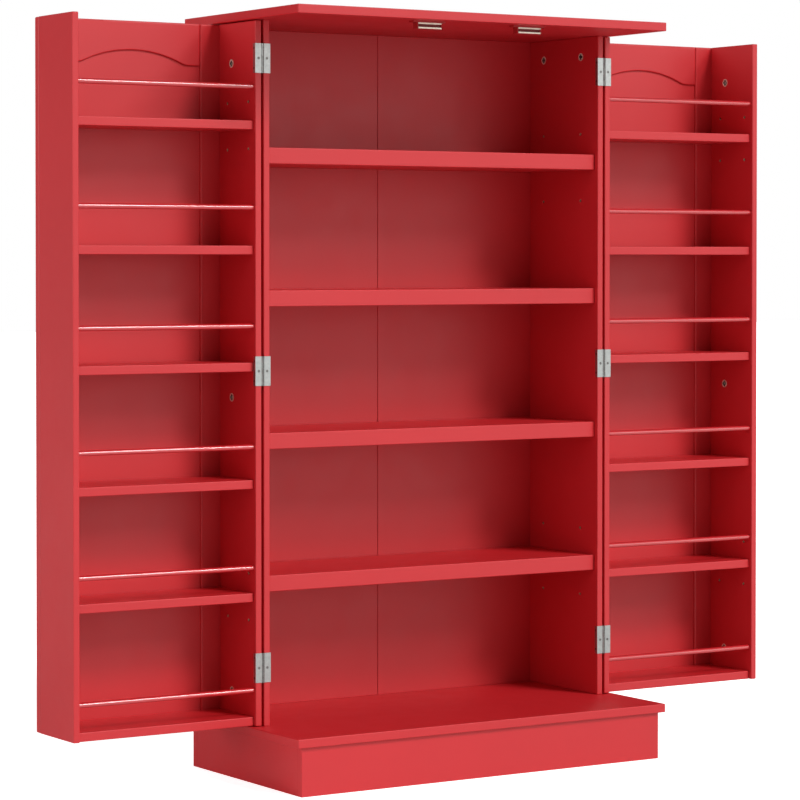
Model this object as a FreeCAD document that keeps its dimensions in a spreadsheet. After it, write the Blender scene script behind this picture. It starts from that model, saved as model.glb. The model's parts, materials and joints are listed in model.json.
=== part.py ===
import FreeCAD, Part
import math
import os
import re

import Sketcher

# Pantry cabinet: a carcass on a plinth, with two box doors that carry shelves and guard rods.
# Frame: +Z up, the front faces -Y, the origin is on the floor under the middle of the cabinet.
# At rest both doors stand open, turned 180 degrees out beside the carcass.

Vector = FreeCAD.Vector
doc = FreeCAD.newDocument("pantry_cabinet")

# ---------------------------------------------------------------- driving dimensions, mm

DIMENSIONS = [
    # top and base panel, and the rounding of every board's edges
    ("total_height", 1380), ("panel_width", 800), ("panel_depth", 411), ("panel_thick", 16),
    ("front_overhang", 164.5), ("edge_round", 1.5), ("thin_round", 0.6),
    ("frame_round", 3),
    # plinth
    ("plinth_height", 87), ("plinth_board", 15), ("plinth_side_inset", 11),
    ("plinth_front_inset", 8), ("plinth_back_inset", 10), ("block_size", 30), ("block_height", 70),
    # carcass
    ("carcass_width", 748), ("side_thick", 12), ("carcass_depth", 226.5),
    ("back_thick", 5), ("joint_x", 13), ("strip_width", 11.5),
    ("strip_skin", 1.2), ("strip_slack", 0.1), ("back_screw_pitch", 290), ("back_screw_count", 5),
    # carcass shelves, counted from the bottom
    ("shelf_thick", 29), ("shelf_lowest_top", 371), ("shelf_pitch", 255.5),
    ("shelf_set_back", 10), ("shelf_back_gap", 2), ("shelf_slack", 0.6),
    # pegs under the loose shelves, dowels in the fixed ones, and the spare peg holes
    ("peg_radius", 2.5), ("peg_depth", 8), ("peg_length", 15.5), ("hole_slack", 0.1),
    ("spare_depth", 0.5), ("pin_lead", 0.5),
    ("peg_front", 56.5), ("peg_back", 179.5), ("peg_pitch", 64),
    ("high_peg_rise", 5.5), ("low_peg_rise", 13.5),
    ("dowel_radius", 3), ("dowel_length", 27), ("dowel_in_side", 8),
    # doors
    ("hinge_gap", 5), ("pin_stand_off", 1.5), ("door_width", 373), ("door_clearance", 1.5),
    ("door_side_depth", 132), ("face_thick", 16), ("stile_width", 51), ("top_rail", 76.5),
    ("bottom_rail", 15), ("arch_half", 112), ("arch_rise", 24.2), ("arch_end_radius", 35),
    ("panel_recess", 4), ("field_thick", 8), ("tongue", 6), ("tongue_slack", 0.4),
    ("door_shelf_thick", 16), ("door_shelf_set_back", 7.5), ("door_peg_front", 25.5),
    ("door_peg_back", 101.5), ("door_peg_pitch", 42),
    # door shelves' upper faces and rods' axes, above the floor, counted from the bottom
    ("door_shelf_1", 120.5), ("door_shelf_2", 342), ("door_shelf_3", 544), ("door_shelf_4", 753.5),
    ("door_shelf_5", 962), ("door_shelf_6", 1184.5),
    ("rod_1", 168), ("rod_2", 387), ("rod_3", 603), ("rod_4", 818.5), ("rod_5", 1030),
    ("rod_6", 1245), ("rod_radius", 4.8), ("rod_set_back", 9.5), ("rod_depth", 6),
    # hinges
    ("hinge_height", 52.7), ("hinge_low", 182), ("hinge_middle", 712), ("hinge_high", 1269),
    ("leaf_thick", 1), ("flange_depth", 7), ("flange_screw_y", 3.6), ("flange_screw_z", 18),
    ("barrel_radius", 2.1), ("pin_radius", 1.05), ("pin_slack", 0.05), ("leaf_reach", 1.5),
    ("knuckle_gap", 0.3), ("sink_lip", 0.05),
    # screws
    ("screw_head", 2.5), ("screw_radius", 1.5), ("screw_length", 11), ("screw_tip", 2),
    ("recess_width", 0.7), ("recess_span", 3), ("recess_depth", 0.6),
    ("long_screw_head", 4.5), ("long_screw_radius", 2.5), ("long_screw_length", 50),
    ("long_screw_front", 40), ("long_screw_back", 190),
    # cam locks
    ("cam_radius", 7.6), ("cam_height", 9.4), ("cam_slot", 3.2), ("cam_mark", 4.4),
    ("cam_mark_span", 10.5), ("cam_mark_depth", 3), ("tunnel_short", 6), ("cam_inset", 37.5),
    ("door_cam_inset", 45),
    ("bolt_radius", 3), ("bolt_neck", 2), ("bolt_head", 3), ("bolt_neck_length", 4),
    ("bolt_grip", 9.5), ("bolt_start", 2),
    ("door_cam_low", 158.5), ("door_cam_middle", 688.5), ("door_cam_high", 1290),
    # magnetic catches under the top panel, and the strike plates they hold
    ("catch_x", 108.5), ("catch_width", 52), ("catch_depth", 15), ("catch_height", 15),
    ("ear_width", 8), ("ear_thick", 3), ("catch_air", 1), ("pole_thick", 2.6),
    ("pole_length", 49), ("pole_depth", 11), ("pole_proud", 0.6), ("pole_low", 12.8),
    ("pole_high", 4.8), ("magnet_depth", 8), ("strike_width", 40), ("strike_height", 11.5),
    ("strike_thick", 1.2),
    # knobs
    ("knob_radius", 14), ("knob_neck", 6), ("knob_foot", 9), ("knob_depth", 26),
    ("knob_step", 2), ("knob_flare", 6), ("knob_waist", 11), ("knob_shoulder", 16),
    ("knob_rim", 20), ("knob_round", 3), ("knob_stud", 2), ("knob_stud_length", 10),
    ("knob_z", 733.5),
]
ALIASES = {name for name, _ in DIMENSIONS}

sheet = doc.addObject("Spreadsheet::Sheet", "Dims")
for row, (name, value) in enumerate(DIMENSIONS, start=1):
    sheet.set(f"A{row}", name)
    sheet.set(f"B{row}", str(value))
    sheet.setAlias(f"B{row}", name)
doc.recompute()


def cells(text):
    """The expression with each dimension's name turned into a reference to its cell."""
    return re.sub(r"[a-z][a-z0-9_]*",
                  lambda word: "Dims." + word[0] if word[0] in ALIASES else word[0], text)


trial = doc.addObject("Spreadsheet::Sheet", "Trial")


def number(text):
    """An expression's value, so that each sketch is drawn where its constraints will hold it."""
    trial.set("A1", "=" + cells(text))
    trial.recompute()
    return float(trial.get("A1"))


# Places that several pieces share, as expressions of the dimensions above.
FRONT = "(front_overhang - panel_depth / 2)"
TOP_UNDERSIDE = "(total_height - panel_thick)"
BASE_TOP = "(plinth_height + panel_thick)"
HALF = "(carcass_width / 2)"
PIN_X = "(carcass_width / 2 + hinge_gap / 2)"
PIN_Y = f"({FRONT} - pin_stand_off)"
DOOR_NEAR = "(carcass_width / 2 + hinge_gap)"
DOOR_FAR = f"({DOOR_NEAR} + door_width)"
DOOR_FOOT = f"({BASE_TOP} + door_clearance)"
DOOR_TOP = f"({TOP_UNDERSIDE} - door_clearance)"
FACE_INNER = f"({FRONT} + door_side_depth)"
PEG_HOLE = "peg_radius + hole_slack"
DOWEL_HOLE = "dowel_radius + hole_slack"
SCREW_HOLE = "screw_radius + hole_slack"
LONG_SCREW_HOLE = "long_screw_radius + hole_slack"
CAM_HOLE = "cam_radius + hole_slack"
BOLT_HOLE = "bolt_radius + hole_slack"
KNUCKLES = 5
MOST_NODES = 60
SIDES = {"left": -1, "right": 1}
HINGES = ("hinge_low", "hinge_middle", "hinge_high")
DOOR_CAMS = ("door_cam_low", "door_cam_middle", "door_cam_high")


def low_x(side, near, far):
    """The lower X of a piece that spans near to far from the middle plane, on either side."""
    return near if side > 0 else f"-({far})"


def signed(side, text):
    return text if side > 0 else f"-({text})"


# ---------------------------------------------------------------- sketch and feature helpers

def origin_plane(body, role):
    return next(item for item in body.Origin.OriginFeatures if item.Role == role)


def new_sketch(body, role, offset="0"):
    sketch = body.newObject("Sketcher::SketchObject", body.Name + "_sketch")
    sketch.AttachmentSupport = [(origin_plane(body, role), "")]
    sketch.MapMode = "FlatFace"
    sketch.setExpression("AttachmentOffset.Base.z", cells(offset))
    return sketch


def fix_point(sketch, geometry, vertex, x, y):
    """Hold a sketch point at (x, y), two expressions measured from the sketch's origin."""
    for kind, axis, text in (("DistanceX", -2, x), ("DistanceY", -1, y)):
        if text == "0":
            sketch.addConstraint(Sketcher.Constraint("PointOnObject", geometry, vertex, axis))
            continue
        index = sketch.addConstraint(
            Sketcher.Constraint(kind, -1, 1, geometry, vertex, number(text)))
        sketch.setExpression(f"Constraints[{index}]", cells(text))


def add_outline(sketch, points):
    """A closed outline of straight lines through the given points, each a pair of expressions."""
    count = len(points)
    start = sketch.GeometryCount
    corners = [Vector(number(x), number(y), 0) for x, y in points]
    for k in range(count):
        sketch.addGeometry(Part.LineSegment(corners[k], corners[(k + 1) % count]))
    for k in range(count):
        follower = start + (k + 1) % count
        sketch.addConstraint(Sketcher.Constraint("Coincident", start + k, 2, follower, 1))
    for k, (x, y) in enumerate(points):
        fix_point(sketch, start + k, 1, x, y)


def add_rectangle(sketch, x0, y0, x1, y1):
    add_outline(sketch, [(x0, y0), (x1, y0), (x1, y1), (x0, y1)])


def add_circle(sketch, x, y, radius):
    centre = Vector(number(x), number(y), 0)
    index = sketch.addGeometry(Part.Circle(centre, Vector(0, 0, 1), number(radius)))
    fix_point(sketch, index, 3, x, y)
    size = sketch.addConstraint(Sketcher.Constraint("Radius", index, number(radius)))
    sketch.setExpression(f"Constraints[{size}]", cells(radius))


def add_feature(body, kind, sketch, length, reverse=False, midplane=False):
    feature = body.newObject("PartDesign::" + kind, body.Name + "_" + kind.lower())
    feature.Profile = sketch
    feature.Reversed = reverse
    feature.Midplane = midplane
    feature.setExpression("Length", cells(length))
    return feature


def new_body(name, place=("0", "0", "0")):
    body = doc.addObject("PartDesign::Body", name)
    body.Label = name
    for axis, text in zip("xyz", place):
        body.setExpression("Placement.Base." + axis, cells(text))
    return body


def cut(body, sketch, depth, reverse=False, midplane=False):
    """Pocket the sketch to a depth, and make sure that it took material away."""
    doc.recompute()
    before = body.Shape.Volume
    pocket = add_feature(body, "Pocket", sketch, depth, reverse, midplane)
    doc.recompute()
    if body.Shape.Volume >= before - 1e-6:
        raise RuntimeError(f"a cut in {body.Label} removed nothing")
    return pocket


# Each face of a board: its sketch plane, which size offsets it, and whether the cut is reversed.
FACES = {
    "-x": ("YZ_Plane", None, True), "+x": ("YZ_Plane", 0, False),
    "-y": ("XZ_Plane", None, False), "+y": ("XZ_Plane", 1, True),
    "-z": ("XY_Plane", None, True), "+z": ("XY_Plane", 2, False),
}


def face_sketch(body, size, face):
    role, index, reverse = FACES[face]
    offset = "0" if index is None else size[index]
    return new_sketch(body, role, f"-({offset})" if face == "+y" else offset), reverse


def drill(body, size, face, spots, radius, depth):
    """Round holes in one face of a board, at spots measured from the board's low corner."""
    sketch, reverse = face_sketch(body, size, face)
    for x, y in spots:
        add_circle(sketch, x, y, radius)
    return cut(body, sketch, depth, reverse)


def recess(body, size, face, corners, depth):
    """A rectangular recess in one face of a board, from its low to its high corner."""
    sketch, reverse = face_sketch(body, size, face)
    add_rectangle(sketch, *corners)
    return cut(body, sketch, depth, reverse)


def countersink(body, hole, depth, normal):
    """Chamfer the mouths of the body's round holes that open on the face with this normal."""
    radius = number(hole)
    doc.recompute()
    base = body.Tip
    mouths = []
    for face in base.Shape.Faces:
        if not isinstance(face.Surface, Part.Plane):
            continue
        if (face.normalAt(0, 0) - normal).Length > 1e-6:
            continue
        mouths += [edge for edge in face.Edges if isinstance(edge.Curve, Part.Circle)
                   and abs(edge.Curve.Radius - radius) < 1e-6 and edge.isClosed()]
    names = [f"Edge{k + 1}" for k, edge in enumerate(base.Shape.Edges)
             if any(edge.isSame(mouth) for mouth in mouths)]
    chamfer = body.newObject("PartDesign::Chamfer", body.Name + "_countersink")
    chamfer.Base = (base, names)
    chamfer.setExpression("Size", cells(depth))
    return chamfer


def board(name, low, size, rounding="edge_round"):
    """A board with rounded edges: its low corner and its three sizes are expressions."""
    body = new_body(name, low)
    sketch = new_sketch(body, "XY_Plane")
    add_rectangle(sketch, "0", "0", size[0], size[1])
    pad = add_feature(body, "Pad", sketch, size[2])
    doc.recompute()
    fillet = body.newObject("PartDesign::Fillet", name + "_edges")
    fillet.Base = (pad, [""])
    fillet.UseAllEdges = True
    fillet.setExpression("Radius", cells(rounding))
    return body


def turned(name, profile):
    """A piece turned about Z from an outline of (radius, height) expression pairs."""
    body = new_body(name)
    sketch = new_sketch(body, "XZ_Plane")
    add_outline(sketch, profile)
    doc.recompute()
    spin = body.newObject("PartDesign::Revolution", name + "_turn")
    spin.Profile = sketch
    spin.ReferenceAxis = (sketch, ["V_Axis"])
    spin.Angle = 360
    return body


def cylinder(name, radius, height, place, direction):
    """A plain rod from a place along a direction."""
    rod = doc.addObject("Part::Cylinder", name)
    rod.setExpression("Radius", cells(radius))
    rod.setExpression("Height", cells(height))
    rod.Placement.Rotation = FreeCAD.Rotation(Vector(0, 0, 1), direction)
    for axis, text in zip("xyz", place):
        rod.setExpression("Placement.Base." + axis, cells(text))
    return rod


def box(name, low, size):
    block = doc.addObject("Part::Box", name)
    block.Label = name
    for prop, text in zip(("Length", "Width", "Height"), size):
        block.setExpression(prop, cells(text))
    for axis, text in zip("xyz", low):
        block.setExpression("Placement.Base." + axis, cells(text))
    return block


X, Y, Z = Vector(1, 0, 0), Vector(0, 1, 0), Vector(0, 0, 1)
AS_MADE = FreeCAD.Rotation()
SCREW_BACK = FreeCAD.Rotation(X, 90)
SCREW_FORWARD = FreeCAD.Rotation(X, -90)
SCREW_UP = FreeCAD.Rotation(X, 180)


def screw_along_x(direction):
    return FreeCAD.Rotation(Y, -90 * direction)


def facing(outward, slot):
    """The turn that points a piece's own Z outward and its own X along the slot."""
    return FreeCAD.Rotation(slot, outward.cross(slot), outward, "ZXY")


def group(name, pieces):
    """One node that holds several separate pieces."""
    compound = doc.addObject("Part::Compound", name)
    compound.Label = name
    compound.Links = pieces
    return compound


def copies(name, master, places):
    """A node of identical pieces: links to the master, each at (x, y, z, rotation)."""
    links = []
    for x, y, z, rotation in places:
        link = doc.addObject("App::Link", name + "_copy")
        link.LinkedObject = master
        link.Placement = FreeCAD.Placement(Vector(), rotation)
        for axis, text in zip("xyz", (x, y, z)):
            link.setExpression("Placement.Base." + axis, cells(text))
        links.append(link)
    return group(name, links)


# ---------------------------------------------------------------- fasteners, made once each

def add_cross(body, long, short, depth):
    """A cross recess at the origin: each arm's reach, half its width, and its depth."""
    sketch = new_sketch(body, "XY_Plane")
    add_outline(sketch, [
        (long, f"-{short}"), (long, short), (short, short), (short, long),
        (f"-{short}", long), (f"-{short}", short), (f"-{long}", short), (f"-{long}", f"-{short}"),
        (f"-{short}", f"-{short}"), (f"-{short}", f"-{long}"), (short, f"-{long}"),
        (short, f"-{short}")])
    cut(body, sketch, depth)


def make_screw():
    """Countersunk screw: its head's top is at the origin and it points down."""
    body = turned("screw_pattern", [
        ("0", "0"), ("screw_head", "0"), ("screw_radius", "-(screw_head - screw_radius)"),
        ("screw_radius", "screw_tip - screw_length"), ("0", "-screw_length")])
    doc.recompute()
    add_cross(body, "recess_span / 2", "recess_width / 2", "recess_depth")
    return body


def make_long_screw():
    return turned("long_screw_pattern", [
        ("0", "0"), ("long_screw_head", "0"),
        ("long_screw_radius", "-(long_screw_head - long_screw_radius)"),
        ("long_screw_radius", "screw_tip - long_screw_length"), ("0", "-long_screw_length")])


def make_pin(name, radius, length):
    """A peg or dowel with a small chamfer at both ends, standing on the origin."""
    lead = "pin_lead"
    return turned(name, [
        ("0", "0"), (f"{radius} - {lead}", "0"), (radius, lead),
        (radius, f"{length} - {lead}"), (f"{radius} - {lead}", length), ("0", length)])


def make_cam():
    """Cam disc: its marked face is at the origin, its bolt slot opens along +X."""
    body = new_body("cam_pattern")
    sketch = new_sketch(body, "XY_Plane")
    add_circle(sketch, "0", "0", "cam_radius")
    add_feature(body, "Pad", sketch, "cam_height", reverse=True)
    slot = new_sketch(body, "XY_Plane", "-cam_height")
    add_rectangle(slot, "0", "-cam_slot", "2 * cam_radius", "cam_slot")
    cut(body, slot, "cam_height - side_thick / 2 + cam_slot", reverse=True)
    add_cross(body, "cam_mark_span / 2", "cam_mark / 2", "cam_mark_depth")
    return body


def make_bolt(name, inset):
    """Cam bolt standing on the origin: head, neck, and the shaft that grips the other board."""
    length = f"({inset} - bolt_start + bolt_grip)"
    return turned(name, [
        ("0", "0"), ("bolt_radius", "0"), ("bolt_radius", "bolt_head"),
        ("bolt_neck", "bolt_head"), ("bolt_neck", "bolt_head + bolt_neck_length"),
        ("bolt_radius", "bolt_head + bolt_neck_length"), ("bolt_radius", length), ("0", length)])


screw = make_screw()
long_screw = make_long_screw()
peg = make_pin("peg_pattern", "peg_radius", "peg_length")
dowel = make_pin("dowel_pattern", "dowel_radius", "dowel_length")
cam = make_cam()
carcass_bolt = make_bolt("bolt_pattern", "cam_inset")
door_bolt = make_bolt("door_bolt_pattern", "door_cam_inset")

nodes = []
carcass_screws = []


# ---------------------------------------------------------------- top, base and plinth

def make_panels():
    depth_low = "-panel_depth / 2"
    size = ("panel_width", "panel_depth", "panel_thick")
    left = "-panel_width / 2"
    top = board("top_panel", (left, depth_low, TOP_UNDERSIDE), size)
    base = board("base_panel", (left, depth_low, "plinth_height"), size)
    edge_x = [f"panel_width / 2 + {signed(side, HALF + ' - side_thick / 2')}"
              for side in SIDES.values()]
    bolt_spots = [(x, f"front_overhang + {y}") for x in edge_x for y in ("peg_front", "peg_back")]
    drill(top, size, "-z", bolt_spots, BOLT_HOLE, "bolt_grip + spare_depth")
    screw_spots = [(x, f"front_overhang + {y}") for x in edge_x
                   for y in ("long_screw_front", "long_screw_back")]
    drill(base, size, "-z", screw_spots, LONG_SCREW_HOLE, "panel_thick")
    countersink(base, LONG_SCREW_HOLE, "long_screw_head - long_screw_radius", -Z)
    catch_spots = [(f"panel_width / 2 + {signed(side, 'catch_x')} + {ear}", CATCH_SCREW_LOCAL_Y)
                   for side in SIDES.values() for ear in EARS]
    drill(top, size, "-z", catch_spots, SCREW_HOLE,
          "screw_length - ear_thick + spare_depth")
    return [top, base]


EAR_MIDDLE = "(catch_width / 2 + ear_width / 2)"
EARS = (f"(-{EAR_MIDDLE})", EAR_MIDDLE)
CATCH_FRONT = f"({PIN_Y} - pin_stand_off - door_side_depth + catch_air)"
CATCH_SCREW_Y = f"({CATCH_FRONT} + catch_depth / 2)"
CATCH_SCREW_LOCAL_Y = f"panel_depth / 2 + {CATCH_SCREW_Y}"


def make_plinth():
    outer = "(panel_width / 2 - plinth_side_inset)"
    front = "(plinth_front_inset - panel_depth / 2)"
    back = "(panel_depth / 2 - plinth_back_inset)"
    width = f"2 * {outer}"
    across = (width, "plinth_board", "plinth_height")
    along = ("plinth_board", f"{back} - {front} - 2 * plinth_board", "plinth_height")
    side_y = f"{front} + plinth_board"
    side_boards = [board(f"plinth_side_{name}",
                         (low_x(side, f"{outer} - plinth_board", outer), side_y, "0"), along,
                         "thin_round")
                   for name, side in SIDES.items()]
    block = ("block_size", "block_size", "block_height")
    inner = f"({outer} - plinth_board)"
    blocks = [box(f"block_{name}_{end}",
                  (low_x(side, f"{inner} - block_size", inner), y, "plinth_height - block_height"),
                  block)
              for name, side in SIDES.items()
              for end, y in (("front", side_y), ("back", f"{back} - plinth_board - block_size"))]
    return [board("plinth_front", (f"-{outer}", front, "0"), across, "thin_round"),
            board("plinth_back", (f"-{outer}", f"{back} - plinth_board", "0"), across,
                  "thin_round"),
            group("plinth_sides", side_boards),
            group("plinth_corner_blocks", blocks)]


# ---------------------------------------------------------------- carcass sides and back

def shelf_top(level):
    return f"(shelf_lowest_top + {level - 1} * shelf_pitch)"


LOOSE_SHELVES = {1: "low_peg_rise", 4: "high_peg_rise"}
FIXED_SHELVES = (2, 3)


def peg_height(level):
    return f"({shelf_top(level)} - shelf_thick + {LOOSE_SHELVES[level]})"


def dowel_height(level):
    return f"({shelf_top(level)} - shelf_thick / 2)"


def carcass_side(name, side):
    size = ("side_thick", "carcass_depth", f"{TOP_UNDERSIDE} - {BASE_TOP}")
    body = board(f"side_{name}",
                 (low_x(side, f"{HALF} - side_thick", HALF), FRONT, BASE_TOP), size)
    inner = "-x" if side > 0 else "+x"
    rows = ("peg_front", "peg_back")
    peg_spots = [(y, f"{peg_height(shelf)} + {step} * peg_pitch - {BASE_TOP}")
                 for shelf in LOOSE_SHELVES for step in (-1, 0, 1) for y in rows]
    drill(body, size, inner, peg_spots, PEG_HOLE, "peg_depth + spare_depth")
    dowel_spots = [(y, f"{dowel_height(shelf)} - {BASE_TOP}")
                   for shelf in FIXED_SHELVES for y in rows]
    drill(body, size, inner, dowel_spots, DOWEL_HOLE, "dowel_in_side + spare_depth")
    cam_z = f"{TOP_UNDERSIDE} - cam_inset - {BASE_TOP}"
    drill(body, size, inner, [(y, cam_z) for y in rows], CAM_HOLE, "cam_height")
    middle = "side_thick / 2"
    drill(body, size, "+z", [(middle, y) for y in rows], "cam_slot", "cam_inset - tunnel_short")
    drill(body, size, "-z", [(middle, y) for y in ("long_screw_front", "long_screw_back")],
          LONG_SCREW_HOLE, "long_screw_length - panel_thick + spare_depth")
    drill(body, size, "-y", [(middle, f"{low} + hinge_height / 2 - {BASE_TOP}") for low in HINGES],
          SCREW_HOLE, "screw_length")
    flange_spots = [("flange_screw_y", f"{low} + hinge_height / 2 {step} flange_screw_z - {BASE_TOP}")
                    for low in HINGES for step in "-+"]
    drill(body, size, inner, flange_spots, SCREW_HOLE,
          "screw_length - leaf_thick + spare_depth")
    drill(body, size, "+y", [(middle, z) for z in BACK_SCREWS],
          SCREW_HOLE, "screw_length - back_thick + spare_depth")
    return body


BACK_SCREWS = [f"(({TOP_UNDERSIDE} - {BASE_TOP}) / 2 +"
               f" ({k} - (back_screw_count - 1) / 2) * back_screw_pitch)"
               for k in range(int(sheet.back_screw_count))]


def make_back():
    """Two back boards, screwed to the sides' rear edges and joined by an H-section strip."""
    height = f"{TOP_UNDERSIDE} - {BASE_TOP}"
    back_y = f"{FRONT} + carcass_depth"
    pieces = []
    for name, side in SIDES.items():
        inner_edge = f"(joint_x + {side} * (strip_skin / 2 + strip_slack))"
        width = f"{HALF} - {side} * {inner_edge}"
        low = inner_edge if side > 0 else f"-{HALF}"
        size = (width, "back_thick", height)
        body = board(f"back_{name}", (low, back_y, BASE_TOP), size, "thin_round")
        x = f"{width} - side_thick / 2" if side > 0 else "side_thick / 2"
        drill(body, size, "+y", [(x, z) for z in BACK_SCREWS],
              SCREW_HOLE, "back_thick")
        countersink(body, SCREW_HOLE, "screw_head - screw_radius", Y)
        pieces.append(body)
        carcass_screws.extend(
            (signed(side, f"{HALF} - side_thick / 2"), f"{back_y} + back_thick",
             f"{z} + {BASE_TOP}", SCREW_FORWARD) for z in BACK_SCREWS)
    strip = new_body("back_joint_strip", ("joint_x", back_y, BASE_TOP))
    sketch = new_sketch(strip, "XY_Plane")
    wide, web = "strip_width / 2", "strip_skin / 2"
    inside, outside = "-strip_slack", "back_thick + strip_slack"
    near, far = "-strip_slack - strip_skin", "back_thick + strip_slack + strip_skin"
    add_outline(sketch, [
        (f"-{wide}", near), (wide, near), (wide, inside), (web, inside), (web, outside),
        (wide, outside), (wide, far), (f"-{wide}", far), (f"-{wide}", outside),
        (f"-{web}", outside), (f"-{web}", inside), (f"-{wide}", inside)])
    add_feature(strip, "Pad", sketch, height)
    return pieces + [strip]


# ---------------------------------------------------------------- carcass shelves

def carcass_shelf(level):
    loose = level in LOOSE_SHELVES
    slack = "shelf_slack" if loose else "0"
    size = (f"carcass_width - 2 * side_thick - 2 * {slack}",
            "carcass_depth - shelf_set_back - shelf_back_gap", "shelf_thick")
    body = board(f"shelf_{level}",
                 (f"side_thick + {slack} - {HALF}", f"{FRONT} + shelf_set_back",
                  f"{shelf_top(level)} - shelf_thick"), size)
    rise = LOOSE_SHELVES[level] if loose else "shelf_thick / 2"
    radius = PEG_HOLE if loose else DOWEL_HOLE
    depth = "peg_length - peg_depth" if loose else "dowel_length - dowel_in_side + spare_depth"
    spots = [(f"{y} - shelf_set_back", rise) for y in ("peg_front", "peg_back")]
    for face in ("-x", "+x"):
        drill(body, size, face, spots, radius, depth)
    return body


def shelf_pin_places(heights, in_side):
    """Places of the pegs or dowels that stand out of both carcass sides at these heights."""
    reach = f"({HALF} - side_thick + {in_side})"
    return [(signed(side, reach), f"{FRONT} + {y}", z, FreeCAD.Rotation(Z, X * -side))
            for z in heights for side in SIDES.values() for y in ("peg_front", "peg_back")]


def make_carcass_fasteners():
    pegs = copies("shelf_pegs", peg, shelf_pin_places(
        [peg_height(shelf) for shelf in LOOSE_SHELVES], "peg_depth"))
    dowels = copies("shelf_dowels", dowel, shelf_pin_places(
        [dowel_height(shelf) for shelf in FIXED_SHELVES], "dowel_in_side"))
    rows = ("peg_front", "peg_back")
    inner = f"({HALF} - side_thick)"
    cam_z = f"{TOP_UNDERSIDE} - cam_inset"
    cams = copies("carcass_cam_locks", cam, [
        (signed(side, inner), f"{FRONT} + {y}", cam_z, facing(X * -side, Z))
        for side in SIDES.values() for y in rows])
    middle = f"{HALF} - side_thick / 2"
    bolts = copies("carcass_cam_bolts", carcass_bolt, [
        (signed(side, middle), f"{FRONT} + {y}", f"{cam_z} + bolt_start", AS_MADE)
        for side in SIDES.values() for y in rows])
    base_screws = copies("base_screws", long_screw, [
        (signed(side, middle), f"{FRONT} + {y}", "plinth_height", SCREW_UP)
        for side in SIDES.values() for y in ("long_screw_front", "long_screw_back")])
    return [pegs, dowels, cams, bolts, base_screws]


# ---------------------------------------------------------------- magnetic catches

def catch_housing(name, side):
    """A catch's plastic housing, hollow at the front for its poles and magnet."""
    low = (f"{signed(side, 'catch_x')} - catch_width / 2 - ear_width", CATCH_FRONT,
           f"{TOP_UNDERSIDE} - catch_height")
    size = ("catch_width + 2 * ear_width", "catch_depth", "catch_height")
    body = new_body(f"catch_housing_{name}", low)
    sketch = new_sketch(body, "XZ_Plane")
    ear_foot = "catch_height - ear_thick"
    add_outline(sketch, [
        ("0", ear_foot), ("ear_width", ear_foot), ("ear_width", "0"),
        ("ear_width + catch_width", "0"), ("ear_width + catch_width", ear_foot),
        (size[0], ear_foot), (size[0], "catch_height"), ("0", "catch_height")])
    add_feature(body, "Pad", sketch, "catch_depth", reverse=True)
    pocket_low = "catch_height - pole_low - pole_thick / 2 - hole_slack"
    pocket_high = "catch_height - pole_high + pole_thick / 2 + hole_slack"
    side_wall = "ear_width + (catch_width - pole_length) / 2 - hole_slack"
    recess(body, size, "-y", (side_wall, pocket_low, f"{size[0]} - ({side_wall})", pocket_high),
           "pole_depth - pole_proud + hole_slack")
    spots = [(x, "catch_depth / 2") for x in ("ear_width / 2", f"{size[0]} - ear_width / 2")]
    sketch = new_sketch(body, "XY_Plane", ear_foot)
    for x, y in spots:
        add_circle(sketch, x, y, SCREW_HOLE)
    cut(body, sketch, "ear_thick", reverse=True)
    countersink(body, SCREW_HOLE, "screw_head - screw_radius", -Z)
    return body


def make_catches():
    housings, poles, magnets = [], [], []
    pole_y = f"{CATCH_FRONT} - pole_proud"
    for name, side in SIDES.items():
        x = signed(side, "catch_x")
        housings.append(catch_housing(name, side))
        low_x_text = f"{x} - pole_length / 2"
        for level in ("pole_low", "pole_high"):
            poles.append(box(f"pole_{name}_{level}",
                             (low_x_text, pole_y, f"{TOP_UNDERSIDE} - {level} - pole_thick / 2"),
                             ("pole_length", "pole_depth", "pole_thick")))
        magnets.append(box(f"magnet_{name}",
                           (low_x_text, f"{CATCH_FRONT} + pole_depth - pole_proud - magnet_depth",
                            f"{TOP_UNDERSIDE} - pole_low + pole_thick / 2"),
                           ("pole_length", "magnet_depth", "pole_low - pole_high - pole_thick")))
        carcass_screws.extend((f"{x} + {ear}", CATCH_SCREW_Y, f"{TOP_UNDERSIDE} - ear_thick",
                               SCREW_UP) for ear in EARS)
    return [group("catch_housings", housings), group("catch_pole_plates", poles),
            group("catch_magnets", magnets)]


# ---------------------------------------------------------------- hinges

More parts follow.
